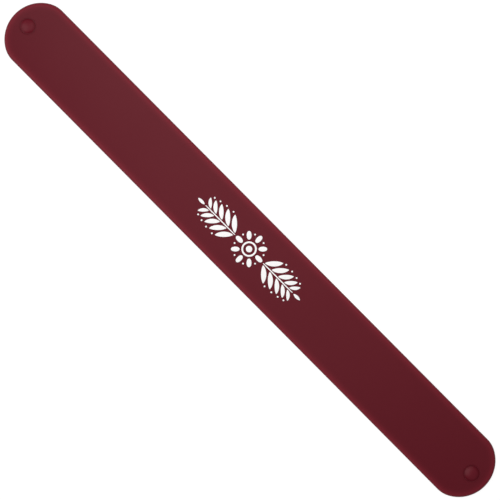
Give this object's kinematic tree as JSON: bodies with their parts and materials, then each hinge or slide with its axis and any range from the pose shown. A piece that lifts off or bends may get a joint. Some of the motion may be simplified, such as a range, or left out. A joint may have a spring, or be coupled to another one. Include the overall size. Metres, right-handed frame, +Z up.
{
  "type": "slap bracelet",
  "caption": "Silicone slap bracelet laid flat: a straight band with rounded ends and a shallow trough along its face, a spring blade inside and small round studs by its tips.",
  "frame": {"origin": "on the surface that the band lies on, under the middle of the band", "axes": "+X along the band, +Y across it, +Z up out of its face; the back, which goes to the skin, looks along -Z"},
  "size_m": [0.225, 0.0238, 0.0034],
  "materials": {
    "silicone": "moulded silicone rubber, matt, dark wine red, a little lighter and redder at its thin edges",
    "stud_silicone": "moulded silicone rubber, matt, the same wine red",
    "spring_steel": "cold-rolled spring steel strip with a fine lengthwise grain",
    "white_ink": "screen-printed white silicone ink, a thin film on the face; it has no solid of its own"
  },
  "bodies": {
    "root": {"silicone_sleeve": "silicone", "spring_blade": "spring_steel", "end_stud_left": "stud_silicone", "end_stud_right": "stud_silicone"}
  },
  "joints": []
}
